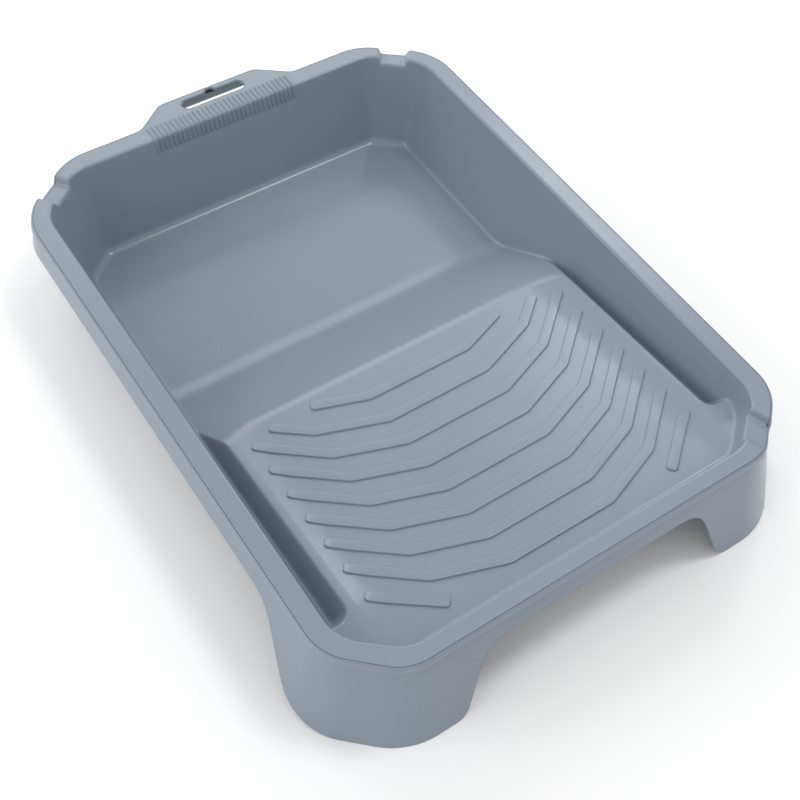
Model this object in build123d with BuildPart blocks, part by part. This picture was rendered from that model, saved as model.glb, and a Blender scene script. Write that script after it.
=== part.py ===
from build123d import *
import math
import os

os.makedirs("parts", exist_ok=True)

# Paint roller tray: one thin polypropylene moulding, built as the regions of its shell.
# Millimetres. Z up, ground at z = 0. X across the tray, -Y the shallow end with the legs, +Y the
# deep end with the hang tab. Every wall is drafted, so trays nest in each other.

# ---------------------------------------------------------------- driving dimensions
height = 58.0             # rim top above the ground
wall = 2.0                # moulding thickness
rim_half_width = 135.0    # half the width over the rim
rim_half_length = 179.15  # half the length over the rim, tab not counted
tab_reach = 13.8          # how far the hang tab stands out from the rim
tab_base = 50.5           # half width of the tab at its root
tab_tip = 31.7            # half width of the tab at its free edge
skirt_inset = 2.5         # the skirt starts this far inside the rim's edge
skirt_flare = 0.27        # outward per mm of drop, legs too
skirt_drop = 16.0         # depth of the skirt below the rim top
lip_drop = 4.0            # depth of the bead round the rim's edge
well_draft = 0.255        # inward per mm of drop on the well's walls
well_depth = 56.0         # rim top to well floor
incline_foot_y = 38.0     # where the floor turns up into the incline
ramp_start_y = -14.0      # where the incline turns into the ramp
ramp_start_drop = 27.6    # rim top to ramp at its start
ramp_slope = 0.0845       # rise per mm towards the front
ramp_half_width = 108.0
channel_drop = 9.0        # drain channels' depth below the ramp
channel_run = 5.4         # width of a channel's slanted side
channel_end_y = -137.7
rib_width = 6.0
rib_height = 1.2
spout_drop = 4.2          # pouring spouts' floor below the rim top
spout_top = 18.6          # spout width at the rim top
spout_floor = 14.8        # spout width at its floor
grip_count = 32
grip_pitch = 2.94
grip_width = 1.7
grip_height = 0.9
slot_half = 20.3          # hang slot, half its length
slot_low = 181.0
slot_high = 188.6
split = 4.0               # the rim is told from the walls and skirts at this drop

# the overall box is centred on the origin, so the rim's centre sits a little off it
tab_flare = 0.10
tab_skirt_drop = 8.0      # the tab has a shallower skirt than the rim
reach_front = rim_half_length - skirt_inset + skirt_flare * height
reach_back = rim_half_length + tab_reach + tab_flare * tab_skirt_drop
rim_y = (reach_front - reach_back) / 2

# rim outline seen from above with the rim's centre at (0, 0), right half: corner and its radius
outer_half = [
    ((105.6, -rim_half_length), 28.0),
    ((rim_half_width, -151.5), 28.0),
    ((rim_half_width, 150.4), 34.0),
    ((96.7, rim_half_length), 34.0),
]
inner_half = [
    ((98.5, -169.5), 22.0),
    ((123.7, -148.5), 22.0),
    ((123.7, 145.5), 22.0),
    ((97.5, 167.4), 22.0),
]


def drop(d):
    """Height above the ground of a level d below the rim top."""
    return height - d


def ramp_drop(y):
    """Rim top to ramp surface at y from the rim's centre."""
    return ramp_start_drop + ramp_slope * (y - ramp_start_y)


def offset_loop(half, grow):
    """The closed outline moved outward by grow, its corners staying concentric."""
    loop = half + [((-p[0], p[1]), r) for p, r in reversed(half)]
    lines = []
    for i, ((ax, ay), _) in enumerate(loop):
        bx, by = loop[(i + 1) % len(loop)][0]
        length = math.hypot(bx - ax, by - ay)
        nx, ny = (by - ay) / length, -(bx - ax) / length
        lines.append((nx, ny, nx * ax + ny * ay + grow))
    points = []
    for i in range(len(loop)):
        a, b = lines[i - 1], lines[i]
        det = a[0] * b[1] - b[0] * a[1]
        points.append(((a[2] * b[1] - b[2] * a[1]) / det, (a[0] * b[2] - b[0] * a[2]) / det + rim_y))
    return points, [max(r + grow, 1.0) for _, r in loop]


def frustum(half, d_low, d_high, grow_at_low, slope=0.0):
    """A drafted solid inside the outline from drop d_low up to drop d_high; slope is the loss of
    width per mm of rise."""
    points, radii = offset_loop(half, grow_at_low)
    with BuildPart() as body:
        with BuildSketch(Plane.XY.offset(drop(d_low))):
            with BuildLine():
                FilletPolyline(*points, radius=radii, close=True)
            make_face()
        extrude(amount=d_low - d_high, taper=math.degrees(math.atan(slope)))
    return body.part


def block(x0, x1, y0, y1, d_low, d_high):
    """A box; y from the rim's centre, heights as drops below the rim top."""
    with BuildPart() as body:
        with BuildSketch(Plane.XY.offset(drop(d_low))):
            with BuildLine():
                Polyline((x0, y0 + rim_y), (x1, y0 + rim_y), (x1, y1 + rim_y), (x0, y1 + rim_y), close=True)
            make_face()
        extrude(amount=d_low - d_high)
    return body.part


def across(points, radii=None):
    """A prism right across the tray with the side profile (y from the rim's centre, drop)."""
    with BuildPart() as body:
        with BuildSketch(Plane(origin=(-200, 0, 0), x_dir=(0, 1, 0), z_dir=(1, 0, 0))):
            with BuildLine():
                flat = [(y + rim_y, drop(d)) for y, d in points]
                if radii:
                    FilletPolyline(*flat, radius=radii, close=True)
                else:
                    Polyline(*flat, close=True)
            make_face()
        extrude(amount=400)
    return body.part


def joined(*parts):
    with BuildPart() as body:
        for p in parts:
            add(p)
    return body.part


def cut(base, *tools):
    with BuildPart() as body:
        add(base)
        for t in tools:
            add(t, mode=Mode.SUBTRACT)
    return body.part


def common(base, *tools):
    with BuildPart() as body:
        add(base)
        for t in tools:
            add(t, mode=Mode.INTERSECT)
    return body.part


# ---------------------------------------------------------------- outside of the moulding
def skirt_grow(d):
    return -skirt_inset + skirt_flare * d


outer_body = frustum(outer_half, height, 1.0, skirt_grow(height), skirt_flare)
hollow_body = frustum(outer_half, height + 1, wall, skirt_grow(height + 1) - 2.07, skirt_flare)
lip_body = frustum(outer_half, lip_drop, 0.9, 0.6, 0.2)
lip_crown = frustum(outer_half, 0.9, 0.0, -0.02, 0.9)


def tab_solid(d_low, d_high, grow_at_low, slope):
    side = math.hypot(tab_base - tab_tip, tab_reach)
    tip_y = rim_half_length + tab_reach + grow_at_low
    lean = (tab_base - tab_tip) / tab_reach
    edge = tab_base + grow_at_low * side / tab_reach
    tip_x = edge - lean * (tip_y - rim_half_length)
    root_x = edge + lean * 6
    root_y = rim_half_length - 6
    with BuildPart() as body:
        with BuildSketch(Plane.XY.offset(drop(d_low))):
            with BuildLine():
                FilletPolyline(
                    (-root_x, root_y + rim_y), (root_x, root_y + rim_y),
                    (tip_x, tip_y + rim_y), (-tip_x, tip_y + rim_y),
                    radius=[0.5, 0.5, 5.0 + grow_at_low, 5.0 + grow_at_low], close=True,
                )
            make_face()
        extrude(amount=d_low - d_high, taper=math.degrees(math.atan(slope)))
    return body.part


tab_body = tab_solid(tab_skirt_drop, 0.9, tab_flare * tab_skirt_drop, tab_flare)
tab_crown = tab_solid(0.9, 0.0, 0.05, 0.9)
tab_hollow = tab_solid(skirt_drop + 2, wall, tab_flare * (skirt_drop + 2) - wall, tab_flare)

# ---------------------------------------------------------------- the well, the incline, the ramp
thick = wall * math.hypot(1, well_draft)
well_air = frustum(inner_half, well_depth, -4.0, -well_depth * well_draft, -well_draft)
well_edge = frustum(inner_half, 1.2, -1.0, -1.2 * well_draft, -1.0)
well_core = frustum(inner_half, height + 2, -4.0, -(height + 2) * well_draft, -well_draft)
well_skin = frustum(inner_half, height + 2, -4.0, -(height + 2) * well_draft + thick, -well_draft)

incline_slope = (well_depth - ramp_start_drop) / (incline_foot_y - ramp_start_y)
incline_lift = wall * math.hypot(1, incline_slope)
ramp_lift = wall * math.hypot(1, ramp_slope)
knee_y = ramp_start_y - (incline_lift - ramp_lift) / (incline_slope - ramp_slope)
foot_y = incline_foot_y + (wall - incline_lift) / incline_slope
under_ramp = across(
    [
        (incline_foot_y, well_depth), (ramp_start_y, ramp_start_drop), (-220, ramp_drop(-220)),
        (-220, height + 6), (incline_foot_y, height + 6),
    ]
)
under_ramp_skin = across(
    [
        (foot_y, height), (knee_y, ramp_drop(knee_y) + ramp_lift), (-220, ramp_drop(-220) + ramp_lift),
        (-220, height + 6), (foot_y, height + 6),
    ]
)

ramp_angle = math.atan(ramp_slope)


def ramp_section(y):
    """A plane square to the ramp at y, local y pointing up off the ramp, normal to the front."""
    return Plane(
        origin=(0, y + rim_y, drop(ramp_drop(y))),
        x_dir=(1, 0, 0),
        z_dir=(0, -math.cos(ramp_angle), math.sin(ramp_angle)),
    )


def drain_grooves(extra, end_y):
    """Both drain channels' air, grown by extra towards the ramp, downwards and at the end."""
    lean = math.hypot(channel_run, channel_drop) / channel_drop
    slope = channel_run / channel_drop
    edge = ramp_half_width - extra * lean
    with BuildPart() as body:
        with BuildSketch(ramp_section(40.0)):
            for side in (1, -1):
                with BuildLine():
                    Polyline(
                        (side * (edge - slope * 6), 6),
                        (side * (edge + slope * (channel_drop + extra)), -channel_drop - extra),
                        (side * 150, -channel_drop - extra),
                        (side * 150, 6),
                        close=True,
                    )
                make_face()
        extrude(amount=(40.0 - end_y) / math.cos(ramp_angle))
    return body.part


drain_air = common(drain_grooves(0.0, channel_end_y), well_core)
drain_skin = common(drain_grooves(wall, channel_end_y - wall), well_skin)

# ---------------------------------------------------------------- the three pouring spouts
spouts = {
    "back_left": ((-114.6, 164.6), 127.0),
    "back_right": ((114.6, 164.6), 53.0),
    "front_right": ((111.9, -170.0), -70.0),
}


def spout_frame(name, back):
    """A plane across the spout, back mm inside the rim's edge, normal pointing out."""
    (x, y), angle = spouts[name]
    ux, uy = math.cos(math.radians(angle)), math.sin(math.radians(angle))
    return Plane(origin=(x - back * ux, y - back * uy + rim_y, height), x_dir=(-uy, ux, 0), z_dir=(ux, uy, 0))


def spout_groove(name, extra):
    slope = (spout_top - spout_floor) / 2 / spout_drop
    side = extra * math.hypot(1, slope)
    with BuildPart() as body:
        with BuildSketch(spout_frame(name, 24.0)):
            with BuildLine():
                Polyline(
                    (-spout_top / 2 - side - slope * 4, 4),
                    (spout_top / 2 + side + slope * 4, 4),
                    (spout_floor / 2 + side - slope * extra, -spout_drop - extra),
                    (-spout_floor / 2 - side + slope * extra, -spout_drop - extra),
                    close=True,
                )
            make_face()
        extrude(amount=40.0)
    return body.part


def spout_strip(name):
    half = spout_top / 2 + 2.4
    with BuildPart() as body:
        with BuildSketch(spout_frame(name, 24.0)):
            with BuildLine():
                Polyline((-half, 4), (half, 4), (half, -11), (-half, -11), close=True)
            make_face()
        extrude(amount=44.0)
    return body.part


# ---------------------------------------------------------------- hang slot and leg cut-outs
with BuildPart() as slot_air:
    with BuildSketch(Plane.XY.offset(drop(8.0))):
        with Locations((0, (slot_low + slot_high) / 2 + rim_y)):
            SlotOverall(2 * slot_half, slot_high - slot_low)
        with Locations((0, slot_high + rim_y - 1.6)):
            Circle(4.0)
    extrude(amount=12.0)

with BuildPart() as front_arch:
    with BuildSketch(Plane(origin=(0, -176.0 + rim_y, 0), x_dir=(1, 0, 0), z_dir=(0, -1, 0))):
        with BuildLine():
            FilletPolyline(
                (-82.0, -4.0), (-77.6, 3.7), (-61.5, drop(skirt_drop)),
                (61.5, drop(skirt_drop)), (77.6, 3.7), (82.0, -4.0),
                radius=[0.5, 8.0, 13.0, 13.0, 8.0, 0.5],
                close=True,
            )
        make_face()
    extrude(amount=30.0)

side_gap = cut(
    across(
        [(220, skirt_drop), (-103, skirt_drop), (-141, 52.0), (-160, height + 3), (220, height + 3)],
        radii=[1.0, 16.0, 14.0, 1.0, 1.0],
    ),
    frustum(inner_half, height + 6, 0.0, 4.0),
)

# ---------------------------------------------------------------- the shell
top_solid = cut(
    joined(outer_body, lip_body, lip_crown, tab_body, tab_crown),
    cut(joined(well_air, well_edge), under_ramp),
    drain_air,
    *[spout_groove(n, 0.0) for n in spouts],
    slot_air.part,
)
under_solid = cut(
    joined(hollow_body, tab_hollow),
    cut(well_skin, under_ramp_skin),
    drain_skin,
    *[spout_groove(n, wall) for n in spouts],
)
shell = cut(top_solid, under_solid, front_arch.part, side_gap)

# ---------------------------------------------------------------- regions of the shell
front_half = -146.0   # the corners start here and beyond
back_half = 142.0
corner_x = 95.0
under_rim = frustum(inner_half, height + 6, 0.0, 4.0)
tab_zone = block(-62, 62, 173.0, 215, height + 6, -6)
quadrant = {
    "back_left": block(-220, -corner_x, back_half, 240, height + 6, -6),
    "back_right": block(corner_x, 220, back_half, 240, height + 6, -6),
    "front_left": block(-220, -corner_x, -240, front_half, height + 6, -6),
    "front_right": block(corner_x, 220, -240, front_half, height + 6, -6),
}
corners = joined(*quadrant.values())
strips = {name: spout_strip(name) for name in spouts}
all_strips = joined(*strips.values())
nodes = {}


def largest(part):
    """The one solid of a region, without slivers left by rounding."""
    return part.solids().sort_by(SortBy.VOLUME)[-1]


# base of the well: floor, incline, ramp, drain channels
base = common(shell, well_core)
floor_zone = block(-200, 200, incline_foot_y, 200, height + 1, well_depth - 4)
channel_plan = cut(
    drain_skin,
    block(-200, 200, 6.0, 200, height + 6, -6),
)
shelf_y = channel_end_y - wall
nodes["well_floor"] = common(base, floor_zone)
nodes["ramp_incline"] = cut(
    common(base, block(-200, 200, ramp_start_y, incline_foot_y, height + 1, 0)), channel_plan
)
nodes["ramp_plate"] = cut(common(base, block(-200, 200, shelf_y, ramp_start_y, height + 1, 0)), channel_plan)
nodes["ramp_front_shelf"] = common(base, block(-200, 200, -240, shelf_y, height + 1, 0))
for side, x0, x1 in (("left", -200, 0), ("right", 0, 200)):
    nodes[f"{side}_drain_channel"] = common(base, channel_plan, block(x0, x1, shelf_y, 200, height, 0))

# walls of the well, below the rim
ring = cut(common(shell, under_rim, block(-220, 220, -240, 240, height + 1, split)), well_core, all_strips)
plain = cut(ring, corners)
nodes["back_wall"] = common(plain, block(-corner_x, corner_x, 100, 240, height + 1, 0))
nodes["front_wall"] = common(plain, block(-corner_x, corner_x, -240, -120, height + 1, 0))
for side, x0, x1 in (("left", -220, -100), ("right", 100, 220)):
    nodes[f"{side}_well_wall"] = common(plain, block(x0, x1, ramp_start_y, back_half, height + 1, 0))
    nodes[f"{side}_ramp_wall"] = common(plain, block(x0, x1, front_half, ramp_start_y, height + 1, 0))
for name, zone in quadrant.items():
    nodes[f"{name}_corner_wall"] = common(ring, zone)

# spouts: the lowered part of the rim with its two cheeks
for name, strip in strips.items():
    nodes[f"{name}_spout"] = cut(common(shell, strip), well_core)

# rim, bead and all, down to the split
rim = cut(common(shell, block(-220, 220, -240, 240, split, -1)), well_core, all_strips)
nodes["hang_tab"] = common(rim, tab_zone)
rim = cut(rim, tab_zone)
nodes["back_rim"] = common(rim, block(-corner_x, corner_x, 100, 240, height, -1))
nodes["front_rim"] = common(rim, block(-corner_x, corner_x, -240, -100, height, -1))
nodes["left_rim"] = common(rim, block(-220, -100, front_half, back_half, height, -1))
nodes["right_rim"] = common(rim, block(100, 220, front_half, back_half, height, -1))
nodes["front_left_corner_rim"] = common(rim, quadrant["front_left"])
for name in spouts:
    bits = common(rim, quadrant[name]).solids().sort_by(Axis.Y)
    nodes[f"{name}_corner_rim_side"] = bits[0 if name.startswith("back") else -1]
    nodes[f"{name}_corner_rim_end"] = bits[-1 if name.startswith("back") else 0]

# skirt under the rim's edge, and the legs that carry on from it at the front
hem = cut(common(shell, block(-220, 220, -240, 240, height + 1, split)), under_rim, all_strips)
tab_skirt = common(hem, block(-62, 62, 173.0, 240, height, 0))
hem = cut(hem, tab_zone)
short = common(hem, block(-220, 220, -240, 240, skirt_drop, 0))
nodes["tab_skirt_left"] = common(tab_skirt, block(-62, -tab_tip + 2, 170, 240, height, 0))
nodes["tab_skirt_end"] = common(tab_skirt, block(-tab_tip + 2, tab_tip - 2, 170, 240, height, 0))
nodes["tab_skirt_right"] = common(tab_skirt, block(tab_tip - 2, 62, 170, 240, height, 0))
nodes["back_skirt_left"] = common(short, block(-corner_x, -40, 100, 240, height, 0))
nodes["back_skirt_right"] = common(short, block(40, corner_x, 100, 240, height, 0))
nodes["back_left_corner_skirt"] = common(short, quadrant["back_left"])
nodes["back_right_corner_skirt"] = common(short, quadrant["back_right"])
leg_start_y = -103.0
nodes["left_skirt"] = common(short, block(-220, -100, leg_start_y, back_half, height, 0))
nodes["right_skirt"] = common(short, block(100, 220, leg_start_y, back_half, height, 0))
nodes["front_skirt"] = common(short, block(-61.5, 61.5, -240, -100, height, 0))
leg_cut_x, leg_cut_y = 106.0, -152.0
for side, sign in (("left", -1), ("right", 1)):
    xs = sorted((sign * 61.5, sign * leg_cut_x))
    nodes[f"{side}_leg_front"] = common(hem, block(*xs, -240, -100, height + 1, 0))
    xs = sorted((sign * leg_cut_x, sign * 220))
    nodes[f"{side}_leg_corner"] = common(hem, block(*xs, -240, leg_cut_y, height + 1, 0))
    nodes[f"{side}_leg_side"] = common(hem, block(*xs, leg_cut_y, leg_start_y, height + 1, 0))

# ---------------------------------------------------------------- ribs on the ramp
rib_front_y = (-35.7, -53.3, -70.4, -87.3, -104.5, -121.4, -138.1, -154.7)


def band_line(points):
    """The right half of a rib's front edge, mirrored to the left."""
    return [(-x, y) for x, y in reversed(points)] + points


rib_lines = []
for k, y in enumerate(rib_front_y):
    bend = y + 13.76 - 0.12 * k
    end = y + 40.6 - 0.19 * k
    if k == 0:
        rib_lines.append([band_line([(31.1, y), (60.9, -24.85)])])
    elif k == 1:
        rib_lines.append([band_line([(31.1, y), (67.8, bend), (86.3, -24.4)])])
    else:
        rib_lines.append([band_line([(31.1, y), (67.8, bend), (99.6, end)])])
rib_lines.append([[(68.5, -158.0), (99.6, -133.5)], [(-99.6, -133.5), (-68.5, -158.0)]])


def shifted(points, width):
    """The open line moved width to its left, square to each leg."""
    legs = []
    for (ax, ay), (bx, by) in zip(points[:-1], points[1:]):
        length = math.hypot(bx - ax, by - ay)
        nx, ny = -(by - ay) / length, (bx - ax) / length
        legs.append((nx, ny, nx * ax + ny * ay + width))
    out = [(points[0][0] + legs[0][0] * width, points[0][1] + legs[0][1] * width)]
    for a, b in zip(legs[:-1], legs[1:]):
        det = a[0] * b[1] - b[0] * a[1]
        out.append(((a[2] * b[1] - b[2] * a[1]) / det, (a[0] * b[2] - b[0] * a[2]) / det))
    out.append((points[-1][0] + legs[-1][0] * width, points[-1][1] + legs[-1][1] * width))
    return out


ramp_plane = Plane(
    origin=(0, rim_y, drop(ramp_drop(0))),
    x_dir=(1, 0, 0),
    z_dir=(0, math.sin(ramp_angle), math.cos(ramp_angle)),
)
for k, lines in enumerate(rib_lines):
    with BuildPart() as rib:
        with BuildSketch(ramp_plane):
            for line in lines:
                loop = line + list(reversed(shifted(line, rib_width)))
                loop = [(x, y / math.cos(ramp_angle)) for x, y in loop]
                ends = {0, len(line) - 1, len(line), len(loop) - 1}
                with BuildLine():
                    FilletPolyline(*loop, radius=[2.6 if i in ends else 4.0 for i in range(len(loop))], close=True)
                make_face()
        extrude(amount=rib_height, taper=30)
    nodes[f"ramp_rib_{k + 1}"] = rib.part

# ---------------------------------------------------------------- finger-grip ribs at the back
with BuildPart() as grips:
    for i in range(grip_count):
        x = (i - (grip_count - 1) / 2) * grip_pitch - 1.3
        with BuildSketch(Plane(origin=(x - grip_width / 2, 0, 0), x_dir=(0, 1, 0), z_dir=(1, 0, 0))):
            with BuildLine():
                top_y, edge_y, low_y = 178.2, 167.4, 167.4 - 8.6 * well_draft
                Polyline(
                    (top_y + rim_y, drop(0)),
                    (edge_y + 1.2 * (1 - well_draft) + rim_y, drop(0)),
                    (edge_y - 1.2 * well_draft + rim_y, drop(1.2)),
                    (low_y + rim_y, drop(8.6)),
                    (low_y - 0.2 + rim_y, drop(8.6)),
                    (edge_y - 0.9 + rim_y, drop(1.0)),
                    (edge_y + 0.9 + rim_y, drop(-grip_height)),
                    (top_y - 0.8 + rim_y, drop(-grip_height)),
                    close=True,
                )
            make_face()
        extrude(amount=grip_width)
nodes["back_grip_ribs"] = grips.part

# ---------------------------------------------------------------- one file for each node
for name, part in nodes.items():
    pieces = [s for s in part.solids() if s.volume > 0.5]
    with BuildPart() as node:
        for s in pieces:
            add(s)
    node.part.label = name
    export_step(node.part, f"parts/{name}.step")
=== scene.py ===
import math

import bpy
import numpy as np
from mathutils import Matrix, Vector
from mathutils.geometry import delaunay_2d_cdt


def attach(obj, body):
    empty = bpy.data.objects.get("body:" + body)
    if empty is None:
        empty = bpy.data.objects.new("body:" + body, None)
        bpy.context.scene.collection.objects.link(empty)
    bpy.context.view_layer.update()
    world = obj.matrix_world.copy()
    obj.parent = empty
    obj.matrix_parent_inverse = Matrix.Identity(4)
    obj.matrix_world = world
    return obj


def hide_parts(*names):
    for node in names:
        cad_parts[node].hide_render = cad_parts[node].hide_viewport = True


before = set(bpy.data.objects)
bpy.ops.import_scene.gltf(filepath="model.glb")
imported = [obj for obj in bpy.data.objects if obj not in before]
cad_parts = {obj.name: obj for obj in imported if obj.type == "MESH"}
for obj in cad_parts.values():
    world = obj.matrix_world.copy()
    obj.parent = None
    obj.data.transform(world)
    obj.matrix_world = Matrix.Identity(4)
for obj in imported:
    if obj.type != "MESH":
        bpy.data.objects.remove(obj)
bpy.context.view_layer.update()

# Millimetres in here, with the rim's centre at (0, 0) and the rim's top at z = 0, until to_row().
RIM_Y = -0.72
HEIGHT = 58.0
WALL = 2.0
DRAFT = 0.255
SEC = math.hypot(1.0, DRAFT)
FLOOR = -56.0
RAMP0, RAMP_SLOPE = -28.783, -0.0845      # ramp plane: z = RAMP0 + RAMP_SLOPE * y
FOOT_Y, BEND_Y = 38.0, -14.0
CHANNEL_END = -137.7


def to_row(points):
    p = np.array(points, float)
    p = p + np.array([0.0, RIM_Y, HEIGHT])
    return p / 1000.0


def smax(a, b, k):
    h = np.maximum(k - np.abs(a - b), 0.0)
    return np.maximum(a, b) + h * h / (4.0 * k)


def smin(a, b, k):
    return -smax(-a, -b, k)


def smooth(t):
    t = np.clip(t, 0.0, 1.0)
    return t * t * (3.0 - 2.0 * t)


# ------------------------------------------------------------------ outlines
OUTER = [
    (105.6, -179.15, 28.0), (135.0, -151.5, 28.0), (135.0, 150.4, 34.0), (96.7, 179.15, 34.0),
    (50.5, 179.15, 9.0), (31.7, 192.95, 7.0), (-31.7, 192.95, 7.0), (-50.5, 179.15, 9.0),
    (-96.7, 179.15, 34.0), (-135.0, 150.4, 34.0), (-135.0, -151.5, 28.0), (-105.6, -179.15, 28.0),
]
INNER = [
    (98.5, -169.5, 22.0), (123.7, -148.5, 22.0), (123.7, 145.5, 22.0), (97.5, 167.4, 22.0),
    (-97.5, 167.4, 22.0), (-123.7, 145.5, 22.0), (-123.7, -148.5, 22.0), (-98.5, -169.5, 22.0),
]
SPOUTS = {
    "back_left": (-114.6, 164.6, 127.0),
    "back_right": (114.6, 164.6, 53.0),
    "front_right": (111.9, -170.0, -70.0),
}
SPOUT_DROP, SPOUT_TOP, SPOUT_FLOOR = 4.2, 18.6, 14.8


def spacing(x, y):
    """How finely a loop is cut at a point."""
    s = 3.0
    if abs(x) < 58 and y > 170:
        s = 1.0
    if y < -160 and 48 < abs(x) < 96:
        s = 0.6
    if abs(x) > 100 and -165 < y < -92:
        s = 0.9
    if abs(x) > 90 and (y > 135 or y < -140):
        s = min(s, 1.3)
    if abs(x) > 95 and (-24 < y < 12 or -143 < y < -130):
        s = min(s, 0.7)
    if abs(x) > 95 and (24 < y < 50):
        s = min(s, 1.4)
    for sx, sy, _ in SPOUTS.values():
        if math.hypot(x - sx, y - sy) < 22:
            s = min(s, 0.6)
    return s


def loop(corners):
    """Points and outward normals once round the outline, counter-clockwise."""
    n = len(corners)
    P, N = [], []
    arcs = []
    for i in range(n):
        a = np.array(corners[i - 1][:2]); b = np.array(corners[i][:2]); c = np.array(corners[(i + 1) % n][:2])
        r = corners[i][2]
        u = (b - a) / np.linalg.norm(b - a)
        w = (c - b) / np.linalg.norm(c - b)
        turn = math.atan2(u[0] * w[1] - u[1] * w[0], u @ w)
        t = r * math.tan(abs(turn) / 2)
        arcs.append((b - u * t, b + w * t, turn, r, u, w))
    for i in range(n):
        start, end, turn, r, u, w = arcs[i]
        s = 1.0 if turn > 0 else -1.0
        centre = start + r * s * np.array([-u[1], u[0]])
        a0 = math.atan2(*(start - centre)[::-1])
        mid = centre + r * np.array([math.cos(a0 + turn / 2), math.sin(a0 + turn / 2)])
        steps = max(3, int(math.ceil(abs(turn) * r / min(1.3, spacing(*mid)))))
        for k in range(steps):
            a = a0 + turn * k / steps
            d = np.array([math.cos(a), math.sin(a)])
            P.append(centre + r * d)
            N.append(d * s)
        nxt = arcs[(i + 1) % n][0]
        length = np.linalg.norm(nxt - end)
        q = 0.0
        stops = []
        while q < length - 0.3:
            stops.append(q)
            q += spacing(*(end + w * q))
        if len(stops) > 1 and length - stops[-1] < 0.4:
            stops.pop()
        for q in stops:
            P.append(end + w * q)
            N.append(np.array([w[1], -w[0]]))
    return np.array(P), np.array(N)


OP, ON = loop(OUTER)
IP, IN = loop(INNER)


def inner_distance(x, y, inset=22.0):
    """Signed distance to the rim's inner outline, positive outside; all its corners share one radius."""
    pts = np.array([c[:2] for c in INNER])
    n = len(pts)
    normals, offs = [], []
    for i in range(n):
        a, b = pts[i], pts[(i + 1) % n]
        d = (b - a) / np.linalg.norm(b - a)
        m = np.array([d[1], -d[0]])
        normals.append(m)
        offs.append(m @ a - inset)
    core = []
    for i in range(n):
        A = np.array([normals[i - 1], normals[i]])
        core.append(np.linalg.solve(A, [offs[i - 1], offs[i]]))
    core = np.array(core)
    q = np.stack([x, y], -1)
    inside = np.max(np.stack([q @ m - o for m, o in zip(normals, offs)], 0), 0)
    best = np.full(x.shape, 1e9)
    for i in range(n):
        a, b = core[i], core[(i + 1) % n]
        ab = b - a
        t = np.clip(((q - a) @ ab) / (ab @ ab), 0, 1)
        best = np.minimum(best, np.linalg.norm(q - (a + t[..., None] * ab), axis=-1))
    return np.where(inside > 0, best, inside) - inset


def spout_uv(name, x, y):
    sx, sy, ang = SPOUTS[name]
    ux, uy = math.cos(math.radians(ang)), math.sin(math.radians(ang))
    return (x - sx) * ux + (y - sy) * uy, -(x - sx) * uy + (y - sy) * ux


def spout_dip(x, y, e=0.0):
    """How far the pouring spouts lower the rim at a point."""
    m = SPOUT_DROP / ((SPOUT_TOP - SPOUT_FLOOR) / 2)
    dip = np.zeros(np.shape(x))
    for name in SPOUTS:
        u, v = spout_uv(name, x, y)
        half = SPOUT_TOP / 2 + (1.1 if e else 0.0)
        t = (half - np.abs(v)) * m
        d = smin(smax(t, 0.0 * t, 1.5), SPOUT_DROP + 0.0 * t, 1.5)
        d = np.where(t < -1.5, 0.0, d)
        dip = np.maximum(dip, np.where((u > -30) & (u < 30), d, 0.0))
    return dip


def lift(x, y):
    """The ramp's two long edges stand a little above its plane."""
    return 2.7 * smooth((np.abs(x) - 90.0) / 18.0) * (0.4 + 0.6 * smooth((y + 150.0) / 20.0))


def base(x, y, e=0.0):
    """Floor, incline, ramp and drain channels; e = WALL gives their underside."""
    slope = (FLOOR - (RAMP0 + RAMP_SLOPE * BEND_Y)) / (FOOT_Y - BEND_Y)
    ramp = RAMP0 + RAMP_SLOPE * y + lift(x, y) - e * math.hypot(1, RAMP_SLOPE)
    incline = FLOOR + slope * (y - FOOT_Y) - e * math.hypot(1, slope)
    floor = FLOOR - e + 0.0 * y
    z = smin(incline, ramp, 1.5)
    z = smax(z, floor, 4.6)
    top = RAMP0 + RAMP_SLOPE * y
    ax = np.abs(x) + (e * 1.166 if e else 0.0)
    bottom = top - 9.0 - e
    # the channel's front end is a quarter round in plan
    a, b, rr = ax - 108.0, y - CHANNEL_END + e * 1.166, 7.5
    near = np.where((a < rr) & (b < rr), rr - np.hypot(rr - a, rr - b), np.minimum(a, b))
    side = top + lift(x, y) - near * (9.0 / 5.4)
    groove = smax(side, bottom, 2.2)
    return smin(z, groove, 1.5)


def foot_radius(x, y):
    back = smooth((y - 128.0) / 14.0)
    front = smooth((-y - 128.0) / 14.0)
    return 2.4 + 2.9 * back + 0.5 * front


def surface(x, y, e=0.0):
    """Height of the moulding's top surface, or of its underside, inside the rim's outer edge."""
    g = inner_distance(x, y)
    s = e * SEC
    zb = base(x, y, e)
    r = foot_radius(x, y) + e
    cz = zb + r
    cg = s + DRAFT * cz - SEC * r
    arc = cz - np.sqrt(np.maximum(r * r - (g - cg) ** 2, 0.0))
    wall = (g - s) / DRAFT
    low = np.where(g <= cg, zb, np.where(g < cg + r / SEC, arc, wall))
    rt = 1.7 if not e else 0.5
    zt = -e - spout_dip(x, y, e)
    cz2 = zt - rt
    cg2 = s + DRAFT * cz2 + SEC * rt
    arc2 = cz2 + np.sqrt(np.maximum(rt * rt - (g - cg2) ** 2, 0.0))
    high = np.where(g >= cg2, zt, arc2)
    return np.where(g > cg2 - rt / SEC, high, low)


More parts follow.
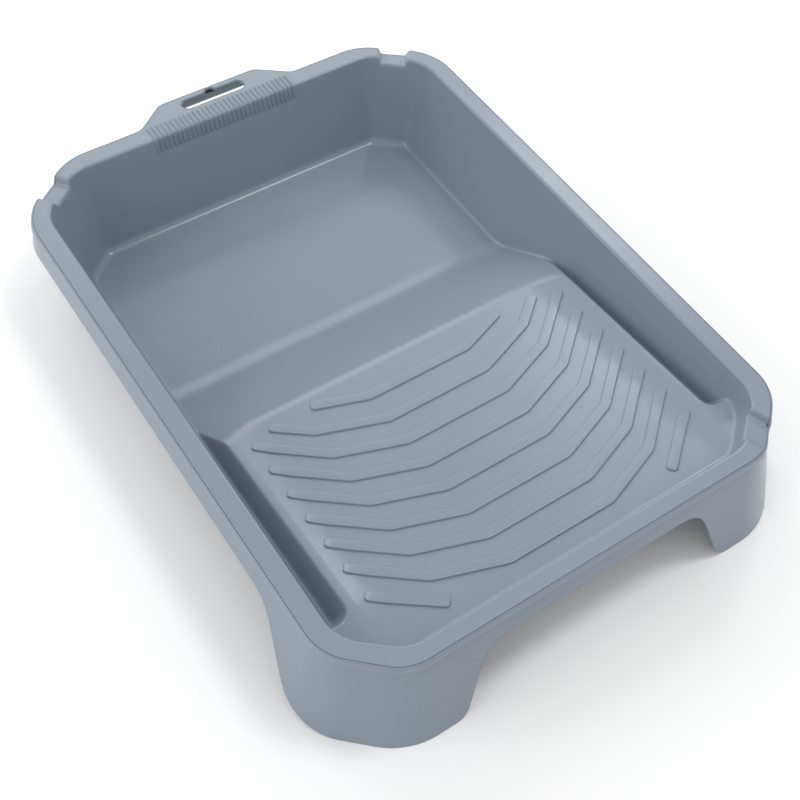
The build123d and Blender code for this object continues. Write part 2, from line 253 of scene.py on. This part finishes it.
# ------------------------------------------------------------------ point sets and triangulation
def inside_loop(px, py, poly):
    """Even-odd test, for many points at once."""
    out = np.zeros(px.shape, bool)
    x0, y0 = poly[:, 0], poly[:, 1]
    x1, y1 = np.roll(x0, -1), np.roll(y0, -1)
    for a, b, c, d in zip(x0, y0, x1, y1):
        if b == d:
            continue
        hit = (py >= min(b, d)) & (py < max(b, d))
        xs = a + (py - b) * (c - a) / (d - b)
        out ^= hit & (px < xs)
    return out


def slot_loop(grow):
    """The hang slot's edge with its small bump, counter-clockwise, moved out by grow."""
    low, high, half = 181.0, 188.6, 20.3
    r = (high - low) / 2
    cy = (high + low) / 2
    pts = []
    for k in range(17):
        a = -math.pi / 2 + math.pi * k / 16
        pts.append((half - r + (r + grow) * math.cos(a), cy + (r + grow) * math.sin(a)))
    for x in np.linspace(half - r - 1.5, 6.0, 7):
        pts.append((x, high + grow))
    for k in range(21):
        x = 5.0 - 10.0 * k / 20
        bump = 2.4 * math.exp(-((x / 2.9) ** 4))
        pts.append((x * (1 + grow * 0.12), high + bump + grow))
    for x in np.linspace(-6.0, -(half - r - 1.5), 7):
        pts.append((x, high + grow))
    for k in range(17):
        a = math.pi / 2 + math.pi * k / 16
        pts.append((-(half - r) + (r + grow) * math.cos(a), cy + (r + grow) * math.sin(a)))
    for x in np.linspace(-(half - r - 1.5), half - r - 1.5, 21):
        pts.append((x, low - grow))
    return np.array(pts)


def patch(outer, hole, e):
    """Triangulated height field between the outer loop and the slot; the loops' points come first."""
    pts = [outer, hole]
    free = []
    if not e:
        rings = [6.5, 3.5, 2.0, 1.5, 1.25, 1.0, 0.8, 0.6, 0.4, 0.2, 0.0, -0.15, -0.3, -0.45, -0.65, -1.0, -1.35, -1.7, -2.05]
        rings += list(np.arange(-2.4, -21.4, -0.5))
    else:
        rings = [6.0, 3.5, 2.8, 2.2, 1.9, 1.6, 1.2, 0.6] + list(np.arange(-0.5, -21.0, -1.0))
    for g in rings:
        ring = IP + g * IN
        if e:
            ring = ring[::2]
        free.append(ring)
    step_u = 1.0 if not e else 2.0
    for name, (sx, sy, ang) in SPOUTS.items():
        ux, uy = math.cos(math.radians(ang)), math.sin(math.radians(ang))
        vs = np.concatenate([np.arange(-10.4, -6.4, 0.25), np.linspace(-5.5, 5.5, 8), np.arange(10.4, 6.4, -0.25)])
        U, V = np.meshgrid(np.arange(-14, 12, step_u), vs)
        free.append(np.stack([sx + U.ravel() * ux - V.ravel() * uy, sy + U.ravel() * uy + V.ravel() * ux], -1))
    free = np.concatenate(free)
    g = inner_distance(free[:, 0], free[:, 1])
    near = np.zeros(len(free), bool)
    for name in SPOUTS:
        u, v = spout_uv(name, free[:, 0], free[:, 1])
        near |= (np.abs(v) < 10.5) & (u > -20) & (u < 14)
    ring_count = len(rings) * len(IP if not e else IP[::2])
    is_grid = np.arange(len(free)) >= ring_count
    keep = np.where(is_grid, g > 2.3, ~(near & (g > 2.1)))
    # rows and columns of the middle
    ys = np.unique(np.round(np.concatenate([
        np.arange(-148, -18, 6.0), np.arange(-19, -8.4, 0.7), np.arange(-8, 26, 4.0),
        np.arange(26, 52, 1.3), np.arange(52, 150, 6.0)]), 3))
    xs = np.arange(-104, 104.1, 6.5)
    X, Y = np.meshgrid(xs, ys)
    grid = np.stack([X.ravel(), Y.ravel()], -1)
    gg = inner_distance(grid[:, 0], grid[:, 1])
    grid = grid[gg < -21.9]
    free = np.concatenate([free[keep], grid])
    # keep clear of the loops, which have their own points
    close = np.zeros(len(free), bool)
    for start in range(0, len(free), 4000):
        f = free[start:start + 4000]
        for lp, gap in ((outer, 0.45), (hole, 0.6)):
            d = np.min(np.abs(f[:, None, 0] - lp[None, ::1, 0]) + np.abs(f[:, None, 1] - lp[None, ::1, 1]), axis=1)
            close[start:start + 4000] |= d < gap
    free = free[~close]
    free = free[inside_loop(free[:, 0], free[:, 1], outer) & ~inside_loop(free[:, 0], free[:, 1], hole)]
    allp = np.concatenate([outer, hole, free])
    no, nh = len(outer), len(hole)
    edges = [(i, (i + 1) % no) for i in range(no)] + [(no + i, no + (i + 1) % nh) for i in range(nh)]
    res = delaunay_2d_cdt([Vector(p) for p in allp], edges, [], 0, 1e-6)
    verts = np.array([v[:] for v in res[0]])
    faces = np.array(res[2])
    orig = res[3]
    where = {}
    for new, olds in enumerate(orig):
        for o in olds:
            where[o] = new
    c = verts[faces].mean(1)
    ok = inside_loop(c[:, 0], c[:, 1], outer) & ~inside_loop(c[:, 0], c[:, 1], hole)
    faces = faces[ok]
    z = surface(verts[:, 0], verts[:, 1], e)
    return np.column_stack([verts, z]), faces, [where[i] for i in range(no)], [where[no + i] for i in range(nh)]


class Skin:
    def __init__(self):
        self.v, self.f, self.count = [], [], 0

    def add(self, pts):
        pts = np.array(pts, float)
        ids = np.arange(self.count, self.count + len(pts))
        self.v.append(pts)
        self.count += len(pts)
        return ids

    def strip(self, a, b):
        """Faces from closed loop a to closed loop b of the same length."""
        n = len(a)
        for i in range(n):
            j = (i + 1) % n
            self.f.append((a[i], a[j], b[j]))
            self.f.append((a[i], b[j], b[i]))


skin = Skin()

# outer loop of the flat rim top, then over the lip and down the skirt and the legs
ARCH = np.array([
    (0, 16), (50, 16), (55, 16.4), (57.9, 17.2), (60.4, 18.4), (63.1, 20.2), (65, 22.2), (66.7, 24.8), (68.6, 29),
    (70.1, 33), (73.8, 43.5), (76.2, 50.2), (77.7, 53.6), (79.4, 55.9), (81.6, 57.4), (84.5, 58), (300, 58)])
SIDE = np.array([
    (-300, 58), (-160, 58), (-155.5, 57.3), (-150, 55.4), (-144.4, 52.6), (-139, 49.2), (-134.7, 45.5), (-130.7, 41.2),
    (-126.8, 36.8), (-123, 32.3), (-119.2, 27.8), (-115.2, 23.6), (-111.1, 20.2), (-106.2, 17.6), (-100.3, 16.3),
    (-95, 16), (300, 16)])


def hem_depth(x, y):
    ax = np.abs(x)
    arch = np.interp(ax, ARCH[:, 0], ARCH[:, 1])
    side = np.interp(y, SIDE[:, 0], SIDE[:, 1])
    tab = 16.0 - 8.0 * smooth((56.0 - ax) / 14.0)
    return np.where((y < -150) & (ax < 97), arch, np.where((y > 170) & (ax < 60), tab, side))


D = hem_depth(OP[:, 0], OP[:, 1])
tabness = smooth((OP[:, 1] - 181.0) / 6.0)
flare = 0.27 - 0.03 * tabness


def rim_ring(g, d):
    p = OP + g * ON
    return np.column_stack([p, -(d + spout_dip(p[:, 0], p[:, 1]))])


top0 = OP - 1.3 * ON
hole_top = slot_loop(0.55)
V, F, outer_ids, hole_ids = patch(top0, hole_top, 0.0)
base_ids = skin.add(V)
skin.f += [tuple(t) for t in F]
prev = np.array(outer_ids)
for a in (15, 32, 50, 70, 90):
    a = math.radians(a)
    ids = skin.add(rim_ring(-1.2 + 1.2 * math.sin(a), 1.2 - 1.2 * math.cos(a)))
    skin.strip(prev, ids)
    prev = ids
for g, d in ((0.22, 2.0), (0.45, 2.9), (0.55, 3.4), (0.42, 3.75), (0.1, 3.95), (-0.3, 4.0), (-0.9, 4.02), (-1.2, 4.12), (-1.33, 4.4)):
    ids = skin.add(rim_ring(g, d))
    skin.strip(prev, ids)
    prev = ids
dip_edge = spout_dip(OP[:, 0], OP[:, 1])
for f in np.linspace(0.06, 1.0, 16):
    start = 4.4 + dip_edge
    d = start + f * (D - 0.6 - start)
    g = -2.52 + flare * d
    p = OP + g[:, None] * ON
    ids = skin.add(np.column_stack([p, -d]))
    skin.strip(prev, ids)
    prev = ids
edge = -2.52 + flare * D
for dg, dd in ((-0.02, 0.25), (-0.2, 0.06), (-0.5, 0.0), (-1.4, 0.0), (-1.75, 0.08), (-1.93, 0.3)):
    p = OP + (edge + dg)[:, None] * ON
    ids = skin.add(np.column_stack([p, -(D - dd)]))
    skin.strip(prev, ids)
    prev = ids
for f in np.linspace(0.1, 1.0, 9):
    d = (D - 0.4) + f * (3.3 + dip_edge - (D - 0.4))
    g = -2.52 + flare * d - 2.0
    p = OP + g[:, None] * ON
    ids = skin.add(np.column_stack([p, -d]))
    skin.strip(prev, ids)
    prev = ids
p = OP + (-3.85) * ON
under0 = p
hole_under = slot_loop(0.25)
V, F, outer_ids, hole_ids_u = patch(under0, hole_under, WALL)
under_ids = skin.add(V)
skin.f += [tuple(int(i) + int(under_ids[0]) for i in (t[0], t[2], t[1])) for t in F]
skin.strip(prev, np.array(outer_ids) + under_ids[0])

# the slot's own wall
prev = np.array(hole_ids)
for g, z in ((0.3, -0.05), (0.1, -0.2), (0.0, -0.5), (0.0, -1.6), (0.08, -1.9)):
    ids = skin.add(np.column_stack([slot_loop(g), np.full(len(hole_top), z)]))
    skin.strip(ids, prev)
    prev = ids
skin.strip(np.array(hole_ids_u) + under_ids[0], prev)

VERTS = np.concatenate(skin.v)
FACES = np.array(skin.f, int)


def area_normals(verts, faces):
    a, b, c = verts[faces[:, 0]], verts[faces[:, 1]], verts[faces[:, 2]]
    fn = np.cross(b - a, c - a)
    out = np.zeros_like(verts)
    for i in range(3):
        np.add.at(out, faces[:, i], fn)
    n = np.linalg.norm(out, axis=1)
    n[n == 0] = 1
    return out / n[:, None], fn


NORMALS, FACE_N = area_normals(VERTS, FACES)

# ------------------------------------------------------------------ which region a face belongs to
cen = VERTS[FACES].mean(1)
cx, cy, cz = cen.T
gin = inner_distance(cx, cy)
core = gin - DRAFT * cz < -0.0
name_of = np.full(len(FACES), "", object)


def assign(mask, name):
    m = mask & (name_of == "")
    name_of[m] = name


wall_zone = gin < 4.0
for s in SPOUTS:
    u, v = spout_uv(s, cx, cy)
    assign(~core & (np.abs(v) < 10.8) & (u > -24) & (u < 20) & (cz > -11), f"{s}_spout")
corner = {
    "back_left": (cx < -95) & (cy > 142), "back_right": (cx > 95) & (cy > 142),
    "front_left": (cx < -95) & (cy < -146), "front_right": (cx > 95) & (cy < -146),
}
channel = (np.abs(cx) > 104.5) & (cy < 6) & (cy > CHANNEL_END - 2) & (cz < RAMP0 + RAMP_SLOPE * cy + lift(cx, cy) - 0.15)
assign(core & channel & (cx < 0), "left_drain_channel")
assign(core & channel & (cx > 0), "right_drain_channel")
assign(core & (cy > FOOT_Y), "well_floor")
assign(core & (cy > BEND_Y), "ramp_incline")
assign(core & (cy > CHANNEL_END - 2), "ramp_plate")
assign(core, "ramp_front_shelf")
rim = cz > -4.0
assign(rim & (np.abs(cx) < 62) & (cy > 173.0), "hang_tab")
for c in ("back_left", "back_right", "front_right"):
    u, v = spout_uv(c, cx, cy)
    toward_side = v * (1 if c == "back_left" else -1 if c == "back_right" else 1)
    assign(rim & corner[c] & (toward_side > 0), f"{c}_corner_rim_side")
    assign(rim & corner[c], f"{c}_corner_rim_end")
assign(rim & corner["front_left"], "front_left_corner_rim")
assign(rim & (cy > 100) & (np.abs(cx) <= 95), "back_rim")
assign(rim & (cy < -100) & (np.abs(cx) <= 95), "front_rim")
assign(rim & (cx < 0), "left_rim")
assign(rim, "right_rim")
for c in corner:
    assign(wall_zone & corner[c], f"{c}_corner_wall")
assign(wall_zone & (np.abs(cx) <= 95) & (cy > 100), "back_wall")
assign(wall_zone & (np.abs(cx) <= 95) & (cy < -100), "front_wall")
for side, m in (("left", cx < 0), ("right", cx > 0)):
    assign(wall_zone & m & (cy > BEND_Y), f"{side}_well_wall")
    assign(wall_zone & m, f"{side}_ramp_wall")
tab = (np.abs(cx) < 62) & (cy > 173)
assign(tab & (cx < -29.7), "tab_skirt_left")
assign(tab & (cx > 29.7), "tab_skirt_right")
assign(tab, "tab_skirt_end")
assign(corner["back_left"], "back_left_corner_skirt")
assign(corner["back_right"], "back_right_corner_skirt")
assign((cy > 100) & (np.abs(cx) <= 95) & (cx < 0), "back_skirt_left")
assign((cy > 100) & (np.abs(cx) <= 95), "back_skirt_right")
assign((cy < -100) & (np.abs(cx) < 61.5), "front_skirt")
for side, m in (("left", cx < 0), ("right", cx > 0)):
    assign(m & (cy > -103), f"{side}_skirt")
    assign(m & (np.abs(cx) < 106), f"{side}_leg_front")
    assign(m & (cy < -152), f"{side}_leg_corner")
    assign(m, f"{side}_leg_side")


# ------------------------------------------------------------------ material
def plastic():
    mat = bpy.data.materials.new("grey_blue_polypropylene")
    mat.use_nodes = True
    nt = mat.node_tree
    nt.nodes.clear()
    out = nt.nodes.new("ShaderNodeOutputMaterial")
    bsdf = nt.nodes.new("ShaderNodeBsdfPrincipled")
    nt.links.new(bsdf.outputs["BSDF"], out.inputs["Surface"])
    co = nt.nodes.new("ShaderNodeTexCoord")

    def noise(scale, detail, rough=0.5):
        n = nt.nodes.new("ShaderNodeTexNoise")
        n.inputs["Scale"].default_value = scale
        n.inputs["Detail"].default_value = detail
        n.inputs["Roughness"].default_value = rough
        nt.links.new(co.outputs["Object"], n.inputs["Vector"])
        return n

    def ramp(src, stops):
        r = nt.nodes.new("ShaderNodeValToRGB")
        r.color_ramp.elements[0].position, r.color_ramp.elements[0].color = stops[0][0], stops[0][1]
        r.color_ramp.elements[1].position, r.color_ramp.elements[1].color = stops[1][0], stops[1][1]
        nt.links.new(src, r.inputs["Fac"])
        return r

    flow = noise(9.0, 3.0)          # slow swirls of the melt, some 100 mm across
    speck = noise(1500.0, 2.0)      # pigment, under a millimetre
    tint = ramp(flow.outputs["Fac"], ((0.3, (0.215, 0.255, 0.310, 1)), (0.7, (0.228, 0.269, 0.325, 1))))
    fleck = ramp(speck.outputs["Fac"], ((0.25, (0.965, 0.965, 0.965, 1)), (0.75, (1.03, 1.03, 1.03, 1))))
    mix = nt.nodes.new("ShaderNodeMix")
    mix.data_type = "RGBA"
    mix.blend_type = "MULTIPLY"
    mix.inputs[0].default_value = 1.0
    nt.links.new(tint.outputs["Color"], mix.inputs[6])
    nt.links.new(fleck.outputs["Color"], mix.inputs[7])
    nt.links.new(mix.outputs[2], bsdf.inputs["Base Color"])
    rough = nt.nodes.new("ShaderNodeMapRange")
    rough.inputs["To Min"].default_value = 0.21
    rough.inputs["To Max"].default_value = 0.30
    nt.links.new(noise(60.0, 4.0).outputs["Fac"], rough.inputs["Value"])
    nt.links.new(rough.outputs["Result"], bsdf.inputs["Roughness"])
    grain = noise(2200.0, 2.0, 0.6)  # spark-eroded texture of the mould, about half a millimetre
    bump = nt.nodes.new("ShaderNodeBump")
    bump.inputs["Strength"].default_value = 0.14
    bump.inputs["Distance"].default_value = 0.00006
    nt.links.new(grain.outputs["Fac"], bump.inputs["Height"])
    wave = noise(24.0, 2.0)          # faint sink and warp of the panels
    bump2 = nt.nodes.new("ShaderNodeBump")
    bump2.inputs["Strength"].default_value = 0.25
    bump2.inputs["Distance"].default_value = 0.0012
    nt.links.new(wave.outputs["Fac"], bump2.inputs["Height"])
    nt.links.new(bump.outputs["Normal"], bump2.inputs["Normal"])
    nt.links.new(bump2.outputs["Normal"], bsdf.inputs["Normal"])
    bsdf.inputs["IOR"].default_value = 1.49
    bsdf.inputs["Specular IOR Level"].default_value = 0.55
    bsdf.inputs["Sheen Weight"].default_value = 0.0
    return mat


PLASTIC = plastic()


def make_piece(name, verts, faces, normals, nodes):
    mesh = bpy.data.meshes.new(name)
    mesh.from_pydata(to_row(verts).tolist(), [], [tuple(int(i) for i in f) for f in faces])
    mesh.update()
    mesh.polygons.foreach_set("use_smooth", [True] * len(mesh.polygons))
    if normals is not None:
        mesh.normals_split_custom_set_from_vertices([tuple(n) for n in normals])
    mesh.materials.append(PLASTIC)
    obj = bpy.data.objects.new(name, mesh)
    bpy.context.scene.collection.objects.link(obj)
    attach(obj, "root")
    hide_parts(*nodes)
    return obj


for node in sorted(set(name_of)):
    sel = name_of == node
    used, inv = np.unique(FACES[sel], return_inverse=True)
    make_piece(f"{node}_skin", VERTS[used], inv.reshape(-1, 3), NORMALS[used], [node])

# ------------------------------------------------------------------ ribs
def shifted(points, width):
    legs = []
    for (ax, ay), (bx, by) in zip(points[:-1], points[1:]):
        length = math.hypot(bx - ax, by - ay)
        nx, ny = -(by - ay) / length, (bx - ax) / length
        legs.append((nx, ny, nx * ax + ny * ay + width))
    out = [(points[0][0] + legs[0][0] * width, points[0][1] + legs[0][1] * width)]
    for a, b in zip(legs[:-1], legs[1:]):
        det = a[0] * b[1] - b[0] * a[1]
        out.append(((a[2] * b[1] - b[2] * a[1]) / det, (a[0] * b[2] - b[0] * a[2]) / det))
    out.append((points[-1][0] + legs[-1][0] * width, points[-1][1] + legs[-1][1] * width))
    return out


def rounded(points, r):
    """The open line with its bends rounded."""
    pts = [np.array(p, float) for p in points]
    out = []
    for i, p in enumerate(pts):
        if i in (0, len(pts) - 1):
            out.append(p)
            continue
        u = (p - pts[i - 1]) / np.linalg.norm(p - pts[i - 1])
        w = (pts[i + 1] - p) / np.linalg.norm(pts[i + 1] - p)
        turn = math.atan2(u[0] * w[1] - u[1] * w[0], u @ w)
        t = r * math.tan(abs(turn) / 2)
        a, b = p - u * t, p + w * t
        for k in range(9):
            s = k / 8
            out.append((1 - s) ** 2 * a + 2 * s * (1 - s) * p + s * s * b)
    return np.array(out)


RIB_W, RIB_H, END_R = 3.1, 1.05, 2.5
SECTION = [(-1.0, -0.08), (-0.965, 0.06), (-0.93, 0.32), (-0.90, 0.62), (-0.86, 0.86), (-0.80, 0.965), (-0.70, 1.0), (0, 1.03),
           (0.70, 1.0), (0.80, 0.965), (0.86, 0.86), (0.90, 0.62), (0.93, 0.32), (0.965, 0.06), (1.0, -0.08)]


def rib_mesh(line):
    path = rounded(shifted(line, 3.0), 9.0)
    seg = np.linalg.norm(np.diff(path, axis=0), axis=1)
    dist = np.concatenate([[0], np.cumsum(seg)])
    total = dist[-1]
    ends = np.array([0.0, 0.03, 0.1, 0.2, 0.35, 0.6, 0.95, 1.4, 1.9, END_R])
    stops = np.unique(np.round(np.concatenate([ends, dist[(dist > END_R) & (dist < total - END_R)], total - ends,
                                              np.arange(6.0, total - 5.0, 6.0)]), 4))
    px = np.interp(stops, dist, path[:, 0])
    py = np.interp(stops, dist, path[:, 1])
    tx, ty = np.gradient(px, stops), np.gradient(py, stops)
    ln = np.hypot(tx, ty)
    nx, ny = -ty / ln, tx / ln
    verts, faces = [], []
    m = len(SECTION)
    for i, q in enumerate(stops):
        e = min(q, total - q)
        w = RIB_W if e >= END_R else RIB_W - END_R + math.sqrt(max(END_R ** 2 - (END_R - e) ** 2, 0.0))
        # the end slopes like the sides
        a = min(e / RIB_W, 1.0)
        rise = np.interp(1 - a, [s[0] for s in SECTION[7:]], [s[1] for s in SECTION[7:]])
        for c, h in SECTION:
            x, y = px[i] + nx[i] * c * w, py[i] + ny[i] * c * w
            hh = min(h, rise) * RIB_H
            verts.append((x, y, RAMP0 + RAMP_SLOPE * y + float(lift(x, y)) + hh))
        for c in (1.0, -1.0):
            x, y = px[i] + nx[i] * c * w * 0.98, py[i] + ny[i] * c * w * 0.98
            verts.append((x, y, RAMP0 + RAMP_SLOPE * y + float(lift(x, y)) - 0.5))
    k = m + 2
    for i in range(len(stops) - 1):
        for j in range(k):
            a, b = i * k + j, i * k + (j + 1) % k
            faces += [(a, b, b + k), (a, b + k, a + k)]
    for i, flip in ((0, False), (len(stops) - 1, True)):
        idx = [i * k + j for j in range(k)]
        for j in range(1, k - 1):
            faces.append((idx[0], idx[j + 1], idx[j]) if not flip else (idx[0], idx[j], idx[j + 1]))
    faces = [(a, c, b) for a, b, c in faces]
    return np.array(verts), np.array(faces)


def both(points):
    return [(-x, y) for x, y in reversed(points)] + points


lines = []
for k, y in enumerate((-35.7, -53.3, -70.4, -87.3, -104.5, -121.4, -138.1, -154.7)):
    bend, end = y + 13.76 - 0.12 * k, y + 40.6 - 0.19 * k
    if k == 0:
        lines.append([both([(31.1, y), (60.9, -24.85)])])
    elif k == 1:
        lines.append([both([(31.1, y), (67.8, bend), (86.3, -24.4)])])
    else:
        lines.append([both([(31.1, y), (67.8, bend), (99.6, end)])])
lines.append([[(68.5, -158.0), (99.6, -133.5)], [(-99.6, -133.5), (-68.5, -158.0)]])
for k, group in enumerate(lines):
    vs, fs, count = [], [], 0
    for line in group:
        v, f = rib_mesh(line)
        vs.append(v)
        fs.append(f + count)
        count += len(v)
    v, f = np.concatenate(vs), np.concatenate(fs)
    n, _ = area_normals(v, f)
    make_piece(f"ramp_rib_{k + 1}_skin", v, f, n, [f"ramp_rib_{k + 1}"])

# ------------------------------------------------------------------ grip ribs over the back rim
gs = np.concatenate([np.linspace(10.9, 2.2, 10), np.linspace(1.8, -1.0, 12), np.linspace(-1.2, -2.15, 5)])
path = np.column_stack([167.4 + gs, surface(np.zeros(len(gs)), 167.4 + gs)])
tan = np.gradient(path, axis=0)
tan /= np.linalg.norm(tan, axis=1)[:, None]
nor = np.column_stack([tan[:, 1], -tan[:, 0]])
nor *= np.sign(nor[:, 1:2] + 1e-9) if np.all(nor[:5, 1] < 0) else 1.0
if nor[0, 1] < 0:
    nor = -nor
dist = np.concatenate([[0], np.cumsum(np.linalg.norm(np.diff(path, axis=0), axis=1))])
vs, fs, count = [], [], 0
HALF = [(-1.0, -0.15), (-0.9, 0.3), (-0.65, 0.72), (-0.3, 0.95), (0, 1.0), (0.3, 0.95), (0.65, 0.72), (0.9, 0.3), (1.0, -0.15)]
for i in range(32):
    x0 = (i - 15.5) * 2.94 - 1.3
    verts = []
    for (py, pz), (ny, nz), q in zip(path, nor, dist):
        e = min(q, dist[-1] - q)
        t = math.sqrt(max(1 - (1 - min(e / 0.8, 1.0)) ** 2, 0.0))
        for c, h in HALF:
            hh = (0.85 * h if h < 0 else 0.85 * h * t)
            verts.append((x0 + c * 0.85 * (0.35 + 0.65 * t), py + ny * hh, pz + nz * hh))
    k = len(HALF)
    faces = []
    for a in range(len(path) - 1):
        for j in range(k):
            p0, p1 = a * k + j, a * k + (j + 1) % k
            faces += [(p0, p0 + k, p1 + k), (p0, p1 + k, p1)]
    for a, flip in ((0, True), (len(path) - 1, False)):
        for j in range(1, k - 1):
            tri = (a * k, a * k + j + 1, a * k + j) if not flip else (a * k, a * k + j, a * k + j + 1)
            faces.append(tri)
    faces = [(a, c, b) for a, b, c in faces]
    vs.append(np.array(verts))
    fs.append(np.array(faces) + count)
    count += len(verts)
v, f = np.concatenate(vs), np.concatenate(fs)
n, _ = area_normals(v, f)
make_piece("back_grip_ribs_skin", v, f, n, ["back_grip_ribs"])

# ------------------------------------------------------------------ floor, light, camera
mesh = bpy.data.meshes.new("floor")
mesh.from_pydata([(-6, -6, 0), (6, -6, 0), (6, 6, 0), (-6, 6, 0)], [], [(0, 1, 2, 3)])
floor = bpy.data.objects.new("floor", mesh)
bpy.context.scene.collection.objects.link(floor)
fm = bpy.data.materials.new("floor")
fm.use_nodes = True
fm.node_tree.nodes["Principled BSDF"].inputs["Base Color"].default_value = (0.97, 0.97, 0.97, 1)
fm.node_tree.nodes["Principled BSDF"].inputs["Roughness"].default_value = 0.9
mesh.materials.append(fm)

world = bpy.data.worlds.new("studio")
bpy.context.scene.world = world
world.use_nodes = True
world.node_tree.nodes["Background"].inputs["Color"].default_value = (1, 1, 1, 1)
world.node_tree.nodes["Background"].inputs["Strength"].default_value = 0.66


def area(name, loc, target, size, size_y, power):
    light = bpy.data.lights.new(name, "AREA")
    light.shape = "RECTANGLE"
    light.size, light.size_y = size, size_y
    light.energy = power
    o = bpy.data.objects.new(name, light)
    o.location = loc
    o.rotation_euler = (Vector(target) - Vector(loc)).to_track_quat("-Z", "Y").to_euler()
    bpy.context.scene.collection.objects.link(o)
    return o


# two small lights overhead draw the thin highlights along the fillets; two large soft ones
# from the back and the left light the rest, and the front stays the darkest side
area("overhead", (0.58, -0.16, 1.49), (0, 0, 0), 0.35, 0.35, 5.5)
area("rear_right", (0.98, 0.74, 1.03), (0, 0, 0), 0.35, 0.35, 2.5)
area("back", (0.1, 1.5, 0.9), (0, 0, 0), 2.0, 1.0, 10)
area("left", (-1.5, 0.2, 0.9), (0, 0, 0), 1.6, 1.0, 10)

cam_data = bpy.data.cameras.new("camera")
cam_data.sensor_width = 36.0
cam_data.lens = 1248.161 / 800.0 * 36.0
cam_data.clip_start = 0.01
cam = bpy.data.objects.new("camera", cam_data)
bpy.context.scene.collection.objects.link(cam)
R = np.array([
    [0.82968117, -0.55620536, 0.04758945],
    [-0.42965998, -0.69068454, -0.58167616],
    [0.35640069, 0.46215848, -0.81202714]])
T = np.array([-7.49326123, -52.91727552, 651.0596976])
centre = to_row([-(R.T @ T)])[0]
m = Matrix.Identity(4)
for i in range(3):
    m[i][0], m[i][1], m[i][2], m[i][3] = R[0][i], -R[1][i], -R[2][i], centre[i]
cam.matrix_world = m
bpy.context.scene.camera = cam
bpy.context.scene.view_settings.view_transform = "Standard"
